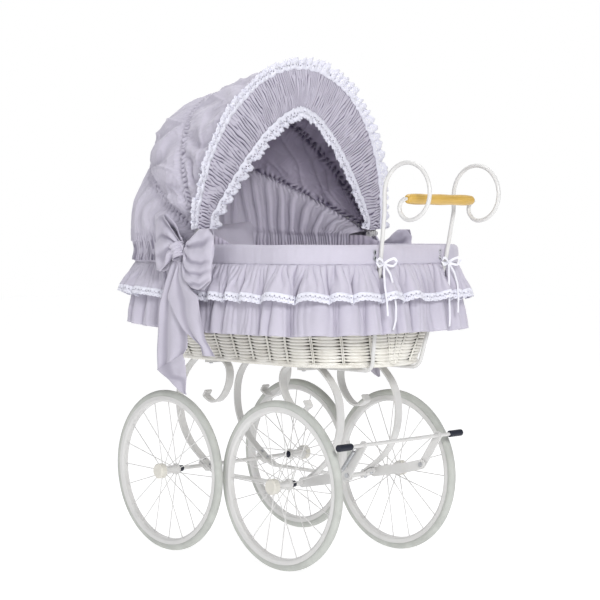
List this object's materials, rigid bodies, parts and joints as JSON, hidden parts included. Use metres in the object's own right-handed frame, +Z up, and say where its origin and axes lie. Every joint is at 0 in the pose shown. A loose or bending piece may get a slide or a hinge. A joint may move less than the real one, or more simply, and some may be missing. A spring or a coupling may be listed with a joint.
{
  "type": "wicker bassinet pram",
  "caption": "Retro bassinet pram with a wicker basket, ruffled skirt, folding bow-trimmed hood, spoked wheels, scroll handle and foot brake.",
  "frame": {"origin": "on the floor, under the middle of the whole pram", "axes": "+X towards the handle, +Y towards the pusher's right, +Z up"},
  "size_m": [0.9838, 0.708, 1.2054],
  "materials": {
    "white_metal": "glossy white powder coat",
    "cream_plastic": "smooth cream plastic",
    "steel": "zinc-plated steel",
    "tyre": "pale grey solid rubber, matt",
    "black_rubber": "near-black rubber",
    "grip_wood": "turned wood, amber lacquer",
    "wicker": "woven willow, white wash",
    "lavender_cotton": "fine lavender-grey cotton",
    "lining_cotton": "lavender-grey cotton lining",
    "white_cotton": "white cotton",
    "white_satin": "white satin ribbon"
  },
  "bodies": {
    "pram": {"side_frame_left": "white_metal", "side_frame_right": "white_metal", "front_axle": "white_metal", "rear_axle": "white_metal", "axle_clamps": "white_metal", "front_cross_stay": "white_metal", "rear_cross_stay": "white_metal", "handle_rod_left": "white_metal", "handle_rod_right": "white_metal", "grip_core": "white_metal", "brake_plate_left": "white_metal", "brake_plate_right": "white_metal", "hood_brackets": "white_metal", "frame_bolts": "steel", "brake_pins": "steel", "hood_pivot_bolts": "steel", "axle_fasteners": "black_rubber", "handle_grip": "grip_wood", "wicker_basket": "wicker", "rim_band": "lavender_cotton", "upper_ruffle": "lavender_cotton", "lower_ruffle": "lavender_cotton", "bow_left": "lavender_cotton", "bow_right": "lavender_cotton", "hood_back": "lavender_cotton", "liner": "lining_cotton", "pillow": "lining_cotton", "mattress": "white_cotton", "ribbon_ties": "white_satin"},
    "front_left_wheel": {"front_left_tyre": "tyre", "front_left_rim": "white_metal", "front_left_spokes": "white_metal", "front_left_hub": "white_metal", "front_left_hub_cap": "cream_plastic"},
    "front_right_wheel": {"front_right_tyre": "tyre", "front_right_rim": "white_metal", "front_right_spokes": "white_metal", "front_right_hub": "white_metal", "front_right_hub_cap": "cream_plastic"},
    "rear_left_wheel": {"rear_left_tyre": "tyre", "rear_left_rim": "white_metal", "rear_left_spokes": "white_metal", "rear_left_hub": "white_metal", "rear_left_hub_cap": "cream_plastic"},
    "rear_right_wheel": {"rear_right_tyre": "tyre", "rear_right_rim": "white_metal", "rear_right_spokes": "white_metal", "rear_right_hub": "white_metal", "rear_right_hub_cap": "cream_plastic"},
    "brake": {"brake_arm_left": "white_metal", "brake_arm_right": "white_metal", "brake_bar": "white_metal", "brake_spring": "steel", "brake_pads": "black_rubber"},
    "hood_rear": {"hoop_rear": "white_metal", "hood_gore_rear": "lavender_cotton"},
    "hood_mid": {"hoop_mid": "white_metal", "hood_gore_front": "lavender_cotton"},
    "hood_front": {"hoop_front": "white_metal", "hood_visor": "lavender_cotton"}
  },
  "joints": [
    {"name": "front_left_spin", "type": "hinge", "parent": "pram", "child": "front_left_wheel", "pos_m": [-0.28287, -0.223, 0.2], "axis": [0, 1, 0], "continuous": true},
    {"name": "front_right_spin", "type": "hinge", "parent": "pram", "child": "front_right_wheel", "pos_m": [-0.28287, 0.223, 0.2], "axis": [0, 1, 0], "continuous": true},
    {"name": "rear_left_spin", "type": "hinge", "parent": "pram", "child": "rear_left_wheel", "pos_m": [0.09513, -0.195, 0.2], "axis": [0, 1, 0], "continuous": true},
    {"name": "rear_right_spin", "type": "hinge", "parent": "pram", "child": "rear_right_wheel", "pos_m": [0.09513, 0.195, 0.2], "axis": [0, 1, 0], "continuous": true},
    {"name": "hood_rear_fold", "type": "hinge", "parent": "pram", "child": "hood_rear", "pos_m": [-0.07387, 0, 0.79], "axis": [0, -1, 0], "range_deg": [0, 22], "deforming": ["hood_back"]},
    {"name": "hood_mid_fold", "type": "hinge", "parent": "hood_rear", "child": "hood_mid", "pos_m": [-0.07387, 0, 0.79], "axis": [0, -1, 0], "range_deg": [0, 22], "deforming": ["hood_gore_rear"]},
    {"name": "hood_front_fold", "type": "hinge", "parent": "hood_mid", "child": "hood_front", "pos_m": [-0.07387, 0, 0.79], "axis": [0, -1, 0], "range_deg": [0, 22], "deforming": ["hood_gore_front"]},
    {"name": "brake_press", "type": "hinge", "parent": "pram", "child": "brake", "pos_m": [0.24913, 0, 0.234], "axis": [0, -1, 0], "range_deg": [0, 24], "deforming": ["brake_spring"]}
  ],
  "couplings": [
    {"joint": "hood_mid_fold", "follows": "hood_rear_fold", "ratio": 1},
    {"joint": "hood_front_fold", "follows": "hood_rear_fold", "ratio": 1}
  ]
}
